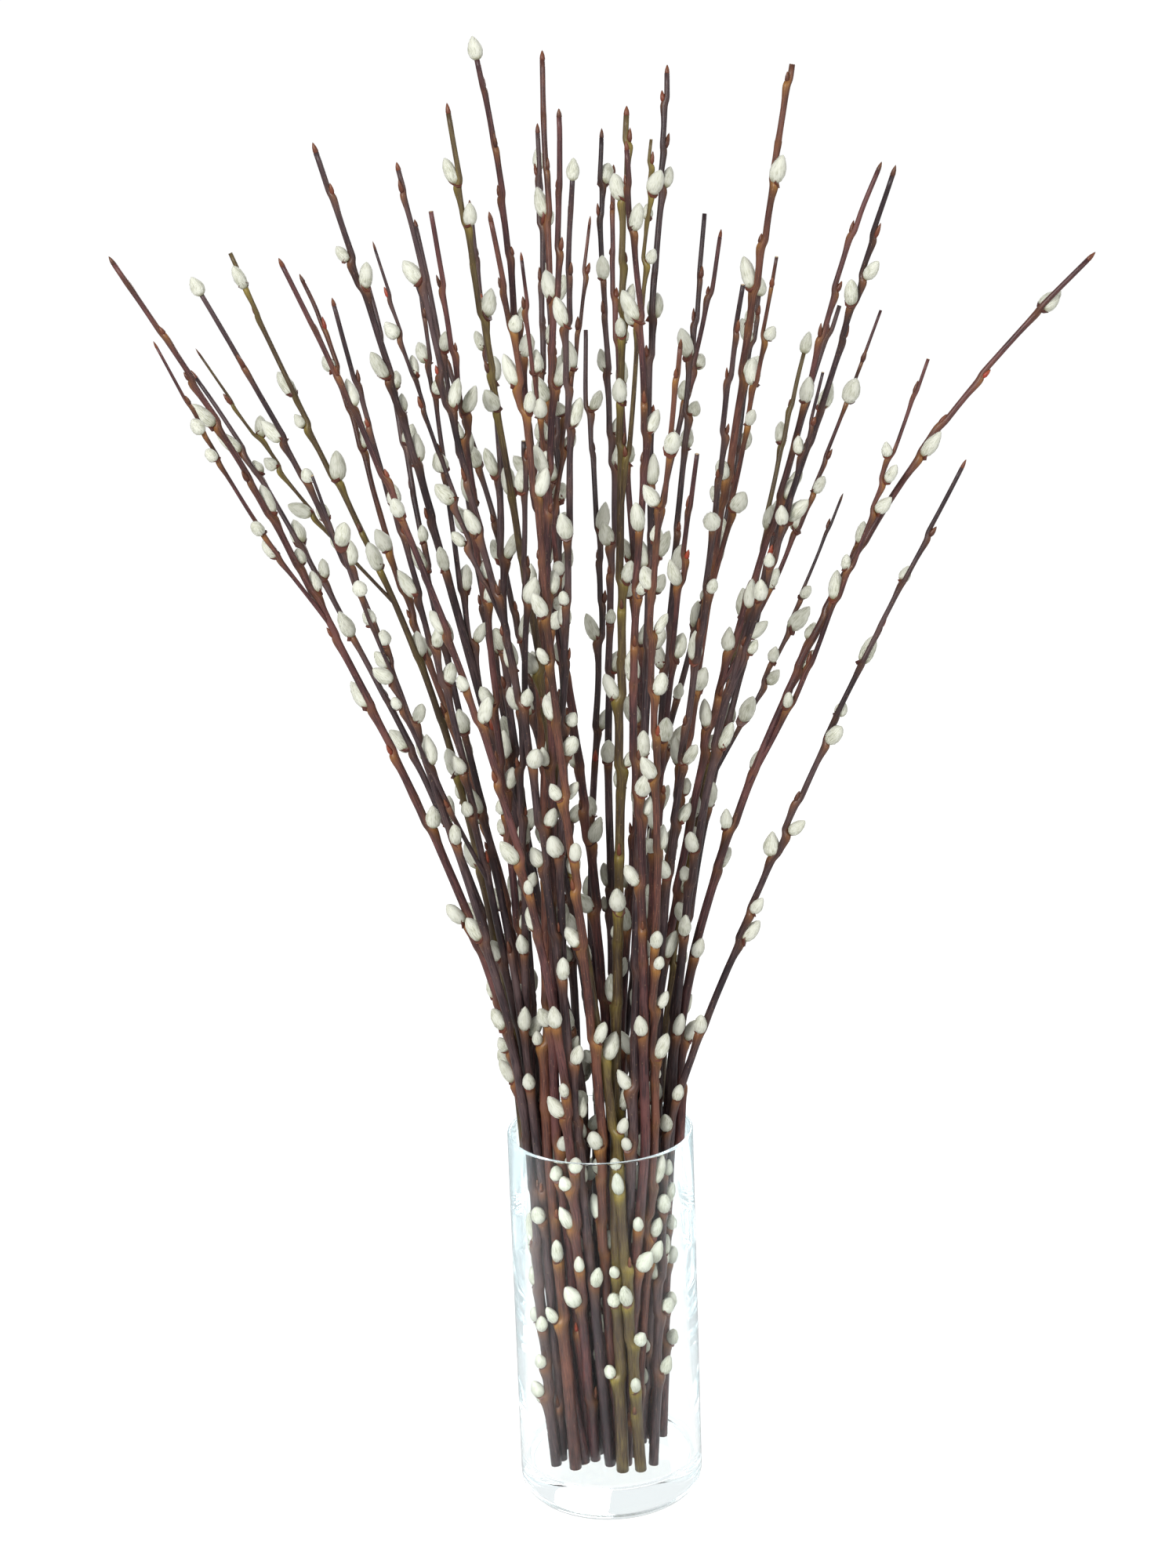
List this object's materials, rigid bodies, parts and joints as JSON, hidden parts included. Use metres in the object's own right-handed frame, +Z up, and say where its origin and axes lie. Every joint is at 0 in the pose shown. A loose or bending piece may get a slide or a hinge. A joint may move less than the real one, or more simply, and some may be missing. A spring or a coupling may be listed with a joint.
{
  "type": "willow stems in a glass vase",
  "caption": "Bunch of budding willow stems with silky catkins, standing upright in a clear glass cylinder vase with a thick base.",
  "frame": {"origin": "centre of the vase's flat underside", "axes": "+Z up along the vase's axis, the front of the bunch faces -Y, +X to its right"},
  "size_m": [0.5675, 0.3242, 0.914],
  "materials": {
    "glass": "clear polished",
    "red_brown_bark": "smooth satin bark",
    "purple_brown_bark": "smooth satin bark",
    "chestnut_bark": "smooth satin bark",
    "olive_bark": "smooth satin bark",
    "catkin": "silky hairs",
    "bud_scale": "thin glossy scale",
    "cut_wood": "fresh cut"
  },
  "bodies": {
    "root": {"vase": "glass", "stem_01": "red_brown_bark", "stem_02": "purple_brown_bark", "stem_03": "purple_brown_bark", "stem_04": "olive_bark", "stem_05": "red_brown_bark", "stem_06": "chestnut_bark", "stem_07": "purple_brown_bark", "stem_08": "purple_brown_bark", "stem_09": "purple_brown_bark", "stem_10": "olive_bark", "stem_11": "purple_brown_bark", "stem_12": "purple_brown_bark", "stem_13": "red_brown_bark", "stem_14": "red_brown_bark", "stem_15": "purple_brown_bark", "stem_16": "chestnut_bark", "stem_17": "purple_brown_bark", "stem_18": "red_brown_bark", "stem_19": "purple_brown_bark", "stem_20": "chestnut_bark", "stem_21": "purple_brown_bark", "stem_22": "purple_brown_bark", "stem_23": "olive_bark", "stem_24": "red_brown_bark", "stem_25": "red_brown_bark", "stem_26": "purple_brown_bark", "stem_27": "chestnut_bark", "stem_28": "purple_brown_bark", "stem_29": "chestnut_bark", "stem_30": "purple_brown_bark", "stem_31": "purple_brown_bark", "stem_32": "red_brown_bark", "stem_33": "purple_brown_bark", "stem_34": "purple_brown_bark", "stem_35": "olive_bark", "stem_36": "red_brown_bark", "stem_37": "purple_brown_bark", "stem_38": "purple_brown_bark", "stem_39": "red_brown_bark", "stem_40": "purple_brown_bark", "stem_41": "purple_brown_bark", "stem_42": "red_brown_bark"}
  },
  "joints": []
}
